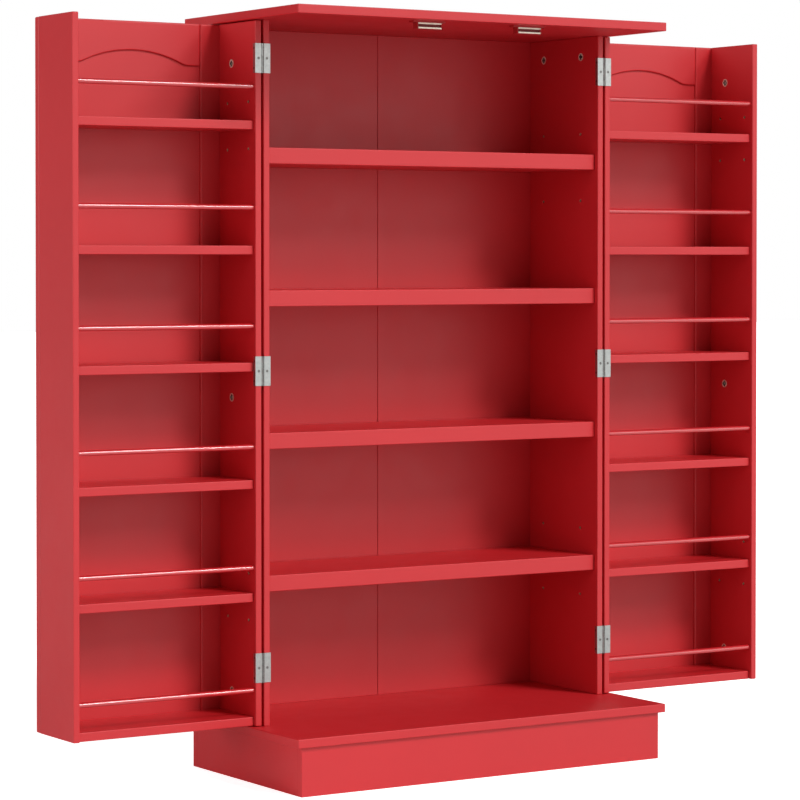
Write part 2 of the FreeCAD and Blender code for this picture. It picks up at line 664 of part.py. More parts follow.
def hinge_leaf(name, hand, windows):
    """A wrap-round leaf about its pin, standing on z = 0; hand is the side its board lies on.

    A front strip covers the board's edge and a flange lies on its inner face. Windows list the
    heights, low and high, where the other leaf's knuckles turn.
    """
    body = new_body(name)
    sketch = new_sketch(body, "XY_Plane")
    board_near, board_far = "hinge_gap / 2", "(hinge_gap / 2 + side_thick)"
    front, edge = "(pin_stand_off - leaf_thick)", "pin_stand_off"
    flange_end = f"{edge} + flange_depth"
    profile = [(f"{board_far} + leaf_thick", front), ("leaf_reach", front), ("leaf_reach", edge),
               (board_far, edge), (board_far, flange_end),
               (f"{board_far} + leaf_thick", flange_end)]
    add_outline(sketch, [(signed(hand, x), y) for x, y in profile])
    add_feature(body, "Pad", sketch, "hinge_height")
    barrel = new_sketch(body, "XY_Plane")
    add_circle(barrel, "0", "0", "barrel_radius")
    add_feature(body, "Pad", barrel, "hinge_height")
    bore = new_sketch(body, "XY_Plane")
    add_circle(bore, "0", "0", "pin_radius + pin_slack")
    cut(body, bore, "hinge_height", reverse=True)
    gaps = new_sketch(body, "XZ_Plane")
    for low, high in windows:
        add_rectangle(gaps, f"-{board_near}", low, board_near, high)
    cut(body, gaps, "4 * hinge_gap", midplane=True)
    front_hole = new_sketch(body, "XZ_Plane")
    add_circle(front_hole, signed(hand, f"{board_near} + side_thick / 2"), "hinge_height / 2",
               SCREW_HOLE)
    cut(body, front_hole, edge)
    countersink(body, SCREW_HOLE, "leaf_thick - sink_lip", -Y)
    flange_holes = new_sketch(body, "YZ_Plane", signed(hand, board_far))
    for step in "-+":
        add_circle(flange_holes, f"{edge} + flange_screw_y",
                   f"hinge_height / 2 {step} flange_screw_z", SCREW_HOLE)
    cut(body, flange_holes, "leaf_thick", reverse=hand > 0)
    countersink(body, SCREW_HOLE, "leaf_thick - sink_lip", X * hand)
    return body


def knuckle_windows(first):
    """Every second fifth of the hinge's height, from the first, opened by half a gap."""
    return [(f"{k} * hinge_height / {KNUCKLES} - knuckle_gap / 2",
             f"{k + 1} * hinge_height / {KNUCKLES} + knuckle_gap / 2")
            for k in range(first, KNUCKLES, 2)]


def hinge_screw_places(side, hand):
    """Screws of the leaves on one side of the cabinet, on the board towards hand."""
    leaf_front = f"{FRONT} - leaf_thick"
    edge_x = "hinge_gap / 2 + side_thick / 2"
    flange_x = "hinge_gap / 2 + side_thick + leaf_thick"
    places = []
    for low in HINGES:
        middle = f"{low} + hinge_height / 2"
        places.append((f"{signed(side, PIN_X)} + {signed(hand, edge_x)}", leaf_front, middle,
                       SCREW_BACK))
        for step in "-+":
            places.append((f"{signed(side, PIN_X)} + {signed(hand, flange_x)}",
                           f"{FRONT} + flange_screw_y", f"{middle} {step} flange_screw_z",
                           screw_along_x(-hand)))
    return places


def make_carcass_hinges():
    leaves = []
    for name, side in SIDES.items():
        master = hinge_leaf(f"carcass_leaf_{name}", -side, knuckle_windows(1))
        for low in HINGES:
            link = doc.addObject("App::Link", f"carcass_leaf_{name}_copy")
            link.LinkedObject = master
            for axis, text in zip("xyz", (signed(side, PIN_X), PIN_Y, low)):
                link.setExpression("Placement.Base." + axis, cells(text))
            leaves.append(link)
        carcass_screws.extend(hinge_screw_places(side, -side))
    pins = [cylinder(f"pin_{name}_{low}", "pin_radius", "hinge_height",
                     (signed(side, PIN_X), PIN_Y, low), Z)
            for name, side in SIDES.items() for low in HINGES]
    return [group("carcass_hinge_leaves", leaves), group("hinge_pins", pins)]


# ---------------------------------------------------------------- door faces

RAIL_LENGTH = "(door_width - 2 * stile_width)"
CROWN_RADIUS = "((arch_half^2 + arch_rise^2) / (2 * arch_rise) - arch_end_radius)"


def add_arched_outline(sketch, foot, length, far_edge):
    """A closed outline with one straight edge and one edge arched like the top rail's.

    The arched edge has its flat ends at the height foot, and far_edge is the straight one's.
    """
    span, low, high = number(length), number(foot), number(far_edge)
    half, rise, end = sheet.arch_half, sheet.arch_rise, sheet.arch_end_radius
    crown = number(CROWN_RADIUS)
    turn = 2 * math.atan2(rise, half)
    up = math.pi / 2
    middle, flat = span / 2, span / 2 - half
    add = sketch.addGeometry

    def line(x0, y0, x1, y1):
        return add(Part.LineSegment(Vector(x0, y0, 0), Vector(x1, y1, 0)))

    def arc(x, y, radius, start, stop):
        return add(Part.ArcOfCircle(Part.Circle(Vector(x, y, 0), Z, radius), start, stop))

    left_flat = line(0, low, flat, low)
    left_bend = arc(flat, low + end, end, -up, turn - up)
    arch = arc(middle, low + rise - crown, crown, up - turn, up + turn)
    right_bend = arc(span - flat, low + end, end, -up - turn, -up)
    right_flat = line(span - flat, low, span, low)
    right_side = line(span, low, span, high)
    far = line(span, high, 0, high)
    left_side = line(0, high, 0, low)

    def join(kind, first, first_end, second, second_end):
        sketch.addConstraint(Sketcher.Constraint(kind, first, first_end, second, second_end))

    join("Tangent", left_flat, 2, left_bend, 1)
    join("Tangent", left_bend, 2, arch, 2)
    join("Tangent", arch, 1, right_bend, 1)
    join("Tangent", right_bend, 2, right_flat, 1)
    join("Coincident", right_flat, 2, right_side, 1)
    join("Coincident", right_side, 2, far, 1)
    join("Coincident", far, 2, left_side, 1)
    join("Coincident", left_side, 2, left_flat, 1)
    for edge in (left_flat, right_flat):
        sketch.addConstraint(Sketcher.Constraint("Horizontal", edge))
    sketch.addConstraint(Sketcher.Constraint("Equal", left_bend, right_bend))
    for curve, radius in ((left_bend, "arch_end_radius"), (arch, CROWN_RADIUS)):
        index = sketch.addConstraint(Sketcher.Constraint("Radius", curve, number(radius)))
        sketch.setExpression(f"Constraints[{index}]", cells(radius))
    fix_point(sketch, left_flat, 1, "0", foot)
    fix_point(sketch, far, 1, length, far_edge)
    fix_point(sketch, far, 2, "0", far_edge)
    sketch.addConstraint(Sketcher.Constraint("Vertical", right_side))
    index = sketch.addConstraint(
        Sketcher.Constraint("DistanceX", left_flat, 1, left_flat, 2, flat))
    sketch.setExpression(f"Constraints[{index}]", cells(f"{length} / 2 - arch_half"))


def face_rounding(body, heights):
    """Round the outline edges that lie in the flat faces at these Y heights."""
    doc.recompute()
    base = body.Tip
    names = []
    for k, edge in enumerate(base.Shape.Edges):
        box_y = edge.BoundBox
        if any(abs(box_y.YMin - y) < 1e-6 and abs(box_y.YMax - y) < 1e-6 for y in heights):
            names.append(f"Edge{k + 1}")
    fillet = body.newObject("PartDesign::Fillet", body.Name + "_edges")
    fillet.Base = (base, names)
    fillet.setExpression("Radius", cells("frame_round"))
    return fillet


def groove_depths():
    """Start and end of the panel groove in the frame's thickness, from its inner face."""
    return "panel_recess - hole_slack", "panel_recess + field_thick + hole_slack"


def make_top_rail(name, side):
    foot = f"{DOOR_TOP} - top_rail"
    body = new_body(f"{name}_door_top_rail",
                    (low_x(side, f"{DOOR_NEAR} + stile_width", f"{DOOR_FAR} - stile_width"),
                     FACE_INNER, foot))
    sketch = new_sketch(body, "XZ_Plane")
    add_arched_outline(sketch, "0", RAIL_LENGTH, "top_rail")
    add_feature(body, "Pad", sketch, "face_thick", reverse=True)
    face_rounding(body, (0.0, sheet.face_thick))
    start, end = groove_depths()
    groove = new_sketch(body, "XZ_Plane", f"-({start})")
    add_arched_outline(groove, "tongue", RAIL_LENGTH, "-tongue")
    cut(body, groove, f"{end} - ({start})")
    size = (RAIL_LENGTH, "face_thick", "top_rail")
    from_hinge = f"2 * {PIN_X} - catch_x - ({DOOR_NEAR} + stile_width)"
    middle = from_hinge if side > 0 else f"{RAIL_LENGTH} - ({from_hinge})"
    strike_z = "top_rail + door_clearance - (pole_low + pole_high) / 2"
    recess(body, size, "-y",
           (f"{middle} - strike_width / 2", f"{strike_z} - strike_height / 2",
            f"{middle} + strike_width / 2", f"{strike_z} + strike_height / 2"), "strike_thick")
    strike = box(f"{name}_door_strike_plate",
                 (f"{signed(side, f'2 * {PIN_X} - catch_x')} - strike_width / 2", FACE_INNER,
                  f"{foot} + {strike_z} - strike_height / 2"),
                 ("strike_width", "strike_thick", "strike_height"))
    return [body, strike]


def make_stiles(name, side):
    """The two upright members of a door's face, each grooved along its inner edge."""
    height = f"{DOOR_TOP} - {DOOR_FOOT}"
    size = ("stile_width", "face_thick", height)
    start, end = groove_depths()
    pieces = []
    for place, near in (("hinge", DOOR_NEAR), ("free", f"({DOOR_FAR} - stile_width)")):
        body = board(f"{name}_stile_{place}",
                     (low_x(side, near, f"{near} + stile_width"), FACE_INNER, DOOR_FOOT), size,
                     "frame_round")
        centre_is_high = (place == "hinge") == (side > 0)
        recess(body, size, "+x" if centre_is_high else "-x",
               (start, "-tongue", end, f"{height} - top_rail + tongue"), "tongue + tongue_slack")
        outer_x = "side_thick / 2" if centre_is_high else "stile_width - side_thick / 2"
        drill(body, size, "-y", [(outer_x, f"{z} - {DOOR_FOOT}") for z in DOOR_CAMS],
              BOLT_HOLE, "bolt_grip + spare_depth")
        if place == "free":
            drill(body, size, "+y", [("stile_width / 2", f"knob_z - {DOOR_FOOT}")],
                  "knob_stud + hole_slack", "knob_stud_length + spare_depth")
        pieces.append(body)
    return group(f"{name}_door_stiles", pieces)


def make_bottom_rail(name, side):
    low = (low_x(side, f"{DOOR_NEAR} + stile_width", f"{DOOR_FAR} - stile_width"), FACE_INNER,
           DOOR_FOOT)
    size = (RAIL_LENGTH, "face_thick", "bottom_rail")
    body = board(f"{name}_door_bottom_rail", low, size)
    start, end = groove_depths()
    recess(body, size, "+z", ("-tongue", start, f"{RAIL_LENGTH} + tongue", end), "tongue + tongue_slack")
    return body


def make_field_panel(name, side):
    """The recessed middle of a door's face; its edges stand in the frame's grooves."""
    length = f"({RAIL_LENGTH} + 2 * tongue)"
    low_side = (f"{DOOR_NEAR} + stile_width - tongue", f"{DOOR_FAR} - stile_width + tongue")
    foot = f"{DOOR_FOOT} + bottom_rail - 2 * tongue"
    arch_foot = f"{DOOR_TOP} - top_rail + tongue - tongue_slack - ({foot})"
    body = new_body(f"{name}_door_panel",
                    (low_x(side, *low_side), f"{FACE_INNER} + panel_recess", foot))
    sketch = new_sketch(body, "XZ_Plane")
    add_arched_outline(sketch, arch_foot, length, "tongue")
    add_feature(body, "Pad", sketch, "field_thick", reverse=True)
    return body


# ---------------------------------------------------------------- door boxes

DOOR_SHELVES = [f"door_shelf_{k}" for k in range(1, 7)]
LOOSE_DOOR_SHELVES = ("door_shelf_2", "door_shelf_6")
RODS = [f"rod_{k}" for k in range(1, 7)]
DOOR_ROWS = ("door_peg_front", "door_peg_back")
DOOR_INNER = (f"({DOOR_NEAR} + side_thick)", f"({DOOR_FAR} - side_thick)")


def door_pin_height(shelf):
    return f"({shelf} - door_shelf_thick / 2)"


def door_side(name, side, place):
    near = DOOR_NEAR if place == "hinge" else DOOR_INNER[1]
    size = ("side_thick", "door_side_depth", f"{DOOR_TOP} - {DOOR_FOOT}")
    body = board(f"{name}_door_{place}_side",
                 (low_x(side, near, f"{near} + side_thick"), FRONT, DOOR_FOOT), size)
    inner = "+x" if (place == "hinge") == (side > 0) else "-x"
    fixed = [shelf for shelf in DOOR_SHELVES if shelf not in LOOSE_DOOR_SHELVES]
    drill(body, size, inner, [(y, f"{door_pin_height(shelf)} - {DOOR_FOOT}")
                              for shelf in fixed for y in DOOR_ROWS],
          DOWEL_HOLE, "dowel_in_side + spare_depth")
    drill(body, size, inner,
          [(y, f"{door_pin_height(shelf)} + {step} * door_peg_pitch - {DOOR_FOOT}")
           for shelf in LOOSE_DOOR_SHELVES for step in (-1, 0, 1) for y in DOOR_ROWS],
          PEG_HOLE, "peg_depth + spare_depth")
    drill(body, size, inner, [("rod_set_back", f"{rod} - {DOOR_FOOT}") for rod in RODS],
          "rod_radius + hole_slack", "rod_depth")
    cam_y = "door_side_depth - door_cam_inset"
    drill(body, size, inner, [(cam_y, f"{z} - {DOOR_FOOT}") for z in DOOR_CAMS],
          CAM_HOLE, "cam_height")
    drill(body, size, "+y", [("side_thick / 2", f"{z} - {DOOR_FOOT}") for z in DOOR_CAMS],
          "cam_slot", "door_cam_inset - tunnel_short")
    if place == "hinge":
        drill(body, size, "-y",
              [("side_thick / 2", f"{low} + hinge_height / 2 - {DOOR_FOOT}") for low in HINGES],
              SCREW_HOLE, "screw_length")
        drill(body, size, inner,
              [("flange_screw_y", f"{low} + hinge_height / 2 {step} flange_screw_z - {DOOR_FOOT}")
               for low in HINGES for step in "-+"],
              SCREW_HOLE, "screw_length - leaf_thick + spare_depth")
    return body


def door_shelf(name, side, shelf):
    width = f"{DOOR_INNER[1]} - {DOOR_INNER[0]}"
    size = (width, "door_side_depth - door_shelf_set_back", "door_shelf_thick")
    body = board(f"{name}_{shelf}",
                 (low_x(side, *DOOR_INNER), f"{FRONT} + door_shelf_set_back",
                  f"{shelf} - door_shelf_thick"), size)
    loose = shelf in LOOSE_DOOR_SHELVES
    radius = PEG_HOLE if loose else DOWEL_HOLE
    depth = "peg_length - peg_depth" if loose else "dowel_length - dowel_in_side + spare_depth"
    spots = [(f"{y} - door_shelf_set_back", "door_shelf_thick / 2") for y in DOOR_ROWS]
    for face in ("-x", "+x"):
        drill(body, size, face, spots, radius, depth)
    return body


def door_pin_places(side, shelves, in_side):
    """Pegs or dowels stand out of both of a door's sides, pointing at each other."""
    ends = ((f"{DOOR_INNER[0]} - {in_side}", side), (f"{DOOR_INNER[1]} + {in_side}", -side))
    return [(signed(side, x), f"{FRONT} + {y}", door_pin_height(shelf),
             FreeCAD.Rotation(Z, X * way))
            for shelf in shelves for x, way in ends for y in DOOR_ROWS]


def make_knob(name, side):
    """Round knob on the free stile: foot, waist, crowned disc, and the stud in the stile."""
    body = new_body(f"{name}_door_knob",
                    (signed(side, f"{DOOR_FAR} - stile_width / 2"), f"{FACE_INNER} + face_thick",
                     "knob_z"))
    sketch = new_sketch(body, "YZ_Plane")
    add_outline(sketch, [
        ("-knob_stud_length", "0"), ("-knob_stud_length", "knob_stud"), ("0", "knob_stud"),
        ("0", "knob_foot"), ("knob_step", "knob_foot"), ("knob_flare", "knob_neck"),
        ("knob_waist", "knob_neck"), ("knob_shoulder", "knob_radius - knob_round / 3"),
        ("knob_rim", "knob_radius"), ("knob_depth - knob_step", "knob_radius - knob_round"),
        ("knob_depth", "knob_radius / 2"), ("knob_depth", "0")])
    doc.recompute()
    spin = body.newObject("PartDesign::Revolution", body.Name + "_turn")
    spin.Profile = sketch
    spin.ReferenceAxis = (sketch, ["H_Axis"])
    spin.Angle = 360
    return body


def make_door(name, side):
    shelves = {shelf: door_shelf(name, side, shelf) for shelf in DOOR_SHELVES}
    fixed = [shelf for shelf in DOOR_SHELVES if shelf not in LOOSE_DOOR_SHELVES]
    rod_length = f"{DOOR_INNER[1]} - {DOOR_INNER[0]} + 2 * (rod_depth - hole_slack)"
    rod_x = low_x(side, f"{DOOR_INNER[0]} - rod_depth + hole_slack",
                  f"{DOOR_INNER[1]} + rod_depth - hole_slack")
    rods = [cylinder(f"{name}_{rod}", "rod_radius", rod_length,
                     (rod_x, f"{FRONT} + rod_set_back", rod), X) for rod in RODS]
    leaf = hinge_leaf(f"{name}_door_leaf", side, knuckle_windows(0))
    cam_y = f"{FACE_INNER} - door_cam_inset"
    cam_places, bolt_places = [], []
    for place, x, way in (("hinge", DOOR_INNER[0], side), ("free", DOOR_INNER[1], -side)):
        middle = f"{x} {'-' if place == 'hinge' else '+'} side_thick / 2"
        cam_places += [(signed(side, x), cam_y, z, facing(X * way, Y)) for z in DOOR_CAMS]
        bolt_places += [(signed(side, middle), f"{cam_y} + bolt_start", z, FreeCAD.Rotation(Z, Y))
                        for z in DOOR_CAMS]
    prefix = f"{name}_door_"
    return [door_side(name, side, "hinge"), door_side(name, side, "free"),
            make_stiles(name, side), *make_top_rail(name, side), make_bottom_rail(name, side),
            make_field_panel(name, side),
            group(prefix + "loose_shelves", [shelves[shelf] for shelf in LOOSE_DOOR_SHELVES]),
            group(prefix + "fixed_shelves", [shelves[shelf] for shelf in fixed]),
            group(prefix + "rods", rods),
            copies(prefix + "shelf_pegs", peg,
                   door_pin_places(side, LOOSE_DOOR_SHELVES, "peg_depth")),
            copies(prefix + "shelf_dowels", dowel, door_pin_places(side, fixed, "dowel_in_side")),
            copies(prefix + "cam_locks", cam, cam_places),
            copies(prefix + "cam_bolts", door_bolt, bolt_places),
            copies(prefix + "hinge_leaves", leaf,
                   [(signed(side, PIN_X), PIN_Y, low, AS_MADE) for low in HINGES]),
            copies(prefix + "hinge_screws", screw, hinge_screw_places(side, side)),
            make_knob(name, side)]


# ---------------------------------------------------------------- the whole cabinet

nodes += make_panels()
nodes += make_plinth()
nodes += [carcass_side(name, side) for name, side in SIDES.items()]
nodes += make_back()
nodes += [carcass_shelf(level) for level in sorted((*LOOSE_SHELVES, *FIXED_SHELVES))]
nodes += make_carcass_fasteners()
nodes += make_catches()
nodes += make_carcass_hinges()
nodes += [copies("carcass_screws", screw, carcass_screws)]
for door_name, door_hand in SIDES.items():
    nodes += make_door(door_name, door_hand)
doc.removeObject(trial.Name)
doc.recompute()

for item in doc.Objects:
    if "Invalid" in item.State or "Error" in item.State:
        raise RuntimeError(f"{item.Label} did not compute: {item.State}")
for node in nodes:
    if node.Shape.isNull() or not node.Shape.isValid():
        raise RuntimeError(f"{node.Label} has no valid shape")
if len(nodes) > MOST_NODES:
    raise RuntimeError(f"{len(nodes)} nodes, more than the folder may hold")

os.makedirs("parts", exist_ok=True)
for node in nodes:
    node.Shape.exportStep(os.path.join("parts", node.Label + ".step"))
whole = Part.makeCompound([node.Shape for node in nodes]).BoundBox
print(f"{len(nodes)} nodes, X {whole.XMin:.2f} {whole.XMax:.2f}, "
      f"Y {whole.YMin:.2f} {whole.YMax:.2f}, Z {whole.ZMin:.2f} {whole.ZMax:.2f}")
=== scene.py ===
import bpy
import json
import math
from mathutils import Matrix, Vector

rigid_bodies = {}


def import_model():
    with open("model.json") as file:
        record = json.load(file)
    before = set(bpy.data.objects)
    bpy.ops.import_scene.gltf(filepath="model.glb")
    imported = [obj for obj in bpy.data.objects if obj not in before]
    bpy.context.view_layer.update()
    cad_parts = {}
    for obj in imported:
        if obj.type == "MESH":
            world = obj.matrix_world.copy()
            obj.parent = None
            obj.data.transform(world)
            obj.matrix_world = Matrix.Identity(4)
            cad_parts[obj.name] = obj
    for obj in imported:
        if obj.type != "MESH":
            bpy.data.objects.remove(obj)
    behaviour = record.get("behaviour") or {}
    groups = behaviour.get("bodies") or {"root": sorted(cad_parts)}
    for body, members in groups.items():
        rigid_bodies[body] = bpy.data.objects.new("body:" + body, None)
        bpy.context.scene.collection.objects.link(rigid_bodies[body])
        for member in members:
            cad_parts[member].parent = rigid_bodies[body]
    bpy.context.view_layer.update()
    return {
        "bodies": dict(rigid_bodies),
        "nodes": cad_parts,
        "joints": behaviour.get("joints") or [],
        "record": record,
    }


# Pantry cabinet in satin red paint, with both box doors standing open. Lengths are in metres,
# apart from the camera's lens and sensor, which are in millimetres.

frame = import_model()
nodes = frame["nodes"]
scene = bpy.context.scene

# ---------------------------------------------------------------- camera, floor and colours

EYE = Vector((-3.0909, -4.7532, 0.9406))
YAW = math.radians(32.522)
PITCH = math.radians(1.1)
LENS, SENSOR_WIDTH = 137.22, 36
SHIFT_DOWN = 0.1048
NEAREST, FARTHEST = 0.1, 200

FLOOR_SIZE = 60
FLOOR_LIFT = 0.85
FLOOR_WHITE, FLOOR_SHADE = (0.93, 0.93, 0.93), (0.91, 0.91, 0.91)

RED, RED_SHADE = (0.60, 0.0120, 0.0180), (0.56, 0.0105, 0.0160)
FIBRE, FIBRE_SHADE = (0.62, 0.42, 0.28), (0.44, 0.27, 0.17)
CATCH_RED, CATCH_SHADE = (0.46, 0.013, 0.015), (0.38, 0.011, 0.013)
MAGNET_RED, MAGNET_SHADE = (0.20, 0.012, 0.012), (0.13, 0.010, 0.010)

# Scales of stretched noise along X, Y and Z. A small number draws it out that way.
UPRIGHT_LAPS = (1.0, 1.0, 0.08)
UPRIGHT_BRUSHING = (1.0, 1.0, 0.05)
DEEP_BRUSHING = (1.0, 0.1, 1.0)
EVEN_BRUSHING = (1.0, 1.0, 1.0)

# A Mix node has sockets for each type of value, some with one name; these are for colours.
MIX_FACTOR, MIX_FIRST, MIX_SECOND, MIX_RESULT = 0, 6, 7, 2


# ---------------------------------------------------------------- material helpers

class Recipe:
    """A node material built around one Principled shader."""

    def __init__(self, name):
        self.material = bpy.data.materials.new(name)
        self.material.use_nodes = True
        self.tree = self.material.node_tree
        self.shader = self.tree.nodes["Principled BSDF"]
        self.place = self.add("ShaderNodeTexCoord").outputs["Object"]

    def add(self, kind, **settings):
        node = self.tree.nodes.new(kind)
        for key, value in settings.items():
            setattr(node, key, value)
        return node

    def link(self, source, target):
        self.tree.links.new(source, target)

    def fixed(self, **values):
        """Numbers that are the same all over the surface, set on the shader's own sockets."""
        for key, value in values.items():
            self.shader.inputs[key.replace("_", " ")].default_value = value

    def stretched(self, scale):
        """The object's coordinates, scaled by a different amount along each axis."""
        mapping = self.add("ShaderNodeMapping")
        mapping.inputs["Scale"].default_value = scale
        self.link(self.place, mapping.inputs["Vector"])
        return mapping.outputs["Vector"]

    def noise(self, size, detail, roughness=0.5, stretch=None):
        """Noise whose lumps are about size across."""
        node = self.add("ShaderNodeTexNoise")
        node.inputs["Scale"].default_value = 1 / size
        node.inputs["Detail"].default_value = detail
        node.inputs["Roughness"].default_value = roughness
        self.link(self.stretched(stretch) if stretch else self.place, node.inputs["Vector"])
        return node.outputs["Fac"]

    def spread(self, value, low, high, start=0.3, stop=0.7):
        """A value remapped so that start..stop, where most of the noise lies, is low..high."""
        node = self.add("ShaderNodeMapRange")
        for key, number in (("From Min", start), ("From Max", stop), ("To Min", low),
                            ("To Max", high)):
            node.inputs[key].default_value = number
        self.link(value, node.inputs["Value"])
        return node.outputs["Result"]

    def sum(self, first, second, weight):
        """first plus weight times second."""
        node = self.add("ShaderNodeMath", operation="MULTIPLY_ADD")
        self.link(second, node.inputs[0])
        node.inputs[1].default_value = weight
        self.link(first, node.inputs[2])
        return node.outputs[0]

    def tones(self, value, light, dark):
        """Base colour that drifts from light to dark as a noise value rises."""
        node = self.add("ShaderNodeMix", data_type="RGBA")
        node.inputs[MIX_FIRST].default_value = (*light, 1)
        node.inputs[MIX_SECOND].default_value = (*dark, 1)
        self.link(self.spread(value, low=0, high=1), node.inputs[MIX_FACTOR])
        self.link(node.outputs[MIX_RESULT], self.shader.inputs["Base Color"])

    def roughness(self, value):
        self.link(value, self.shader.inputs["Roughness"])

    def bump(self, height, depth, strength):
        node = self.add("ShaderNodeBump")
        node.inputs["Strength"].default_value = strength
        node.inputs["Distance"].default_value = depth
        self.link(height, node.inputs["Height"])
        self.link(node.outputs["Normal"], self.shader.inputs["Normal"])


# ---------------------------------------------------------------- materials

def red_paint():
    """Satin paint: orange peel, faint lap marks, and a slow drift of tone over each board."""
    paint = Recipe("satin_red_paint")
    paint.tones(paint.noise(size=0.35, detail=3), RED, RED_SHADE)
    smudge = paint.noise(size=0.06, detail=4, roughness=0.6)
    paint.roughness(paint.spread(smudge, low=0.44, high=0.51))
    peel = paint.noise(size=0.0022, detail=2)
    laps = paint.noise(size=0.004, detail=3, stretch=UPRIGHT_LAPS)
    paint.bump(paint.sum(peel, laps, weight=0.8), depth=0.00006, strength=0.6)
    paint.fixed(IOR=1.5, Specular_IOR_Level=0.6)
    return paint.material


def rod_paint():
    """Glossy enamel on the steel guard rods."""
    enamel = Recipe("gloss_red_enamel")
    enamel.tones(enamel.noise(size=0.12, detail=2), RED, RED_SHADE)
    enamel.roughness(enamel.spread(enamel.noise(size=0.04, detail=3), low=0.32, high=0.38))
    enamel.fixed(IOR=1.5, Specular_IOR_Level=0.3, Coat_Weight=1.0, Coat_Roughness=0.08,
                 Coat_IOR=1.9)
    return enamel.material


def bare_board():
    """Pressed fibre inside drilled holes, and turned dowels."""
    fibre = Recipe("bare_board")
    strands = fibre.noise(size=0.0012, detail=6, roughness=0.7)
    fibre.tones(strands, FIBRE, FIBRE_SHADE)
    fibre.roughness(fibre.spread(strands, low=0.8, high=0.95))
    fibre.bump(strands, depth=0.0002, strength=0.8)
    return fibre.material


def plated_steel(name, light, dark, smooth, rough, brushing, metallic=1.0):
    """Plated metal with faint handling marks and brushing, drawn out or even."""
    steel = Recipe(name)
    lines = steel.noise(size=0.0006, detail=3, stretch=brushing)
    marks = steel.noise(size=0.006, detail=4, roughness=0.65)
    steel.tones(marks, light, dark)
    wear = steel.sum(marks, lines, weight=0.5)
    steel.roughness(steel.spread(wear, low=smooth, high=rough, start=0.45, stop=1.0))
    steel.bump(lines, depth=0.00003, strength=0.5)
    steel.fixed(Metallic=metallic)
    return steel.material


def catch_plastic():
    """Moulded housings of the magnetic catches."""
    plastic = Recipe("catch_plastic")
    grain = plastic.noise(size=0.0008, detail=3)
    plastic.tones(grain, CATCH_RED, CATCH_SHADE)
    plastic.roughness(plastic.spread(grain, low=0.42, high=0.55))
    plastic.bump(grain, depth=0.00005, strength=0.5)
    return plastic.material


def magnet_ferrite():
    """Ferrite coloured a dull dark red."""
    ferrite = Recipe("ferrite")
    grain = ferrite.noise(size=0.001, detail=5, roughness=0.7)
    ferrite.tones(grain, MAGNET_RED, MAGNET_SHADE)
    ferrite.roughness(ferrite.spread(grain, low=0.55, high=0.8))
    ferrite.bump(grain, depth=0.00008, strength=0.6)
    return ferrite.material


def seen_level(tree, light, seen):
    """A brightness that is light for the light it gives and seen for the camera."""
    ray = tree.nodes.new("ShaderNodeLightPath")
    level = tree.nodes.new("ShaderNodeMapRange")
    level.inputs["To Min"].default_value = light
    level.inputs["To Max"].default_value = seen
    tree.links.new(ray.outputs["Is Camera Ray"], level.inputs["Value"])
    return level.outputs["Result"]


def floor_material():
    """Plain white floor; the camera sees it a little brighter than its own light makes it."""
    plain = Recipe("pale_floor")
    tone = plain.noise(size=0.5, detail=3)
    plain.tones(tone, FLOOR_WHITE, FLOOR_SHADE)
    plain.roughness(plain.spread(tone, low=0.6, high=0.7))
    plain.fixed(Specular_IOR_Level=0.2, Emission_Color=(1, 1, 1, 1))
    lift = seen_level(plain.tree, light=0, seen=FLOOR_LIFT)
    plain.link(lift, plain.shader.inputs["Emission Strength"])
    return plain.material


PAINT = red_paint()
BOARD = bare_board()
# Dark steel: the screws' own finish, and also painted shade on the hinge knuckles and in the cam
# lock recesses.
DARK_STEEL_AND_SHADE = plated_steel("dark_plate_and_painted_shade", light=(0.25, 0.24, 0.23), dark=(0.17, 0.165, 0.16),
                          smooth=0.34, rough=0.48, brushing=UPRIGHT_BRUSHING)
MATERIALS = {
    "red_paint": PAINT,
    "red_metal": rod_paint(),
    "bare_wood": BOARD,
    "zinc_steel": plated_steel("zinc_plate", light=(0.92, 0.84, 0.70), dark=(0.78, 0.71, 0.58),
                               smooth=0.36, rough=0.50, brushing=EVEN_BRUSHING, metallic=0.5),
    "hinge_steel": plated_steel("nickel_plate", light=(0.50, 0.51, 0.49),
                                dark=(0.40, 0.41, 0.40), smooth=0.26, rough=0.40,
                                brushing=UPRIGHT_BRUSHING),
    "nickel": plated_steel("satin_nickel", light=(0.66, 0.63, 0.58), dark=(0.58, 0.55, 0.51),
                           smooth=0.22, rough=0.34, brushing=DEEP_BRUSHING),
    "catch_plastic": catch_plastic(),
    "magnet": magnet_ferrite(),
}


# ---------------------------------------------------------------- dressing the CAD nodes

# A board's faces and rounded edges lie within SKIN of the box round it. The crest of a knuckle,
# painted dark as shade, is the part of its barrel, inside BARREL_REACH of the pin, that is less
# than CREST_REACH to the pin's left or right. The recess in a cam lock, painted dark as shade
# too, lies within SLOT_REACH of the lock's axis and starts SLOT_START behind its faces.
SKIN = 0.0014
PINS = [joint["pos_m"][:2] for joint in frame["joints"]]
BARREL_REACH, CREST_REACH = 0.0023, 0.0015
SLOT_REACH, SLOT_START = 0.0055, 0.0002

DRILLED = ("top_panel", "base_panel", "side_left", "side_right", "back_left", "back_right",
           "shelf_1", "shelf_2", "shelf_3", "shelf_4",
           *(f"{side}_door_{part}" for side in ("left", "right")
             for part in ("hinge_side", "free_side", "stiles", "loose_shelves",
                          "fixed_shelves")))


def islands(mesh):
    """Which connected piece each vertex of a mesh belongs to, joining split normals' twins."""
    parent = list(range(len(mesh.vertices)))

    def root(k):
        while parent[k] != k:
            parent[k] = parent[parent[k]]
            k = parent[k]
        return k

    twins = {}
    for vertex in mesh.vertices:
        key = tuple(round(c, 6) for c in vertex.co)
        parent[root(vertex.index)] = root(twins.setdefault(key, vertex.index))
    for polygon in mesh.polygons:
        first = root(polygon.vertices[0])
        for k in polygon.vertices[1:]:
            parent[root(k)] = first
    return [root(k) for k in range(len(parent))]


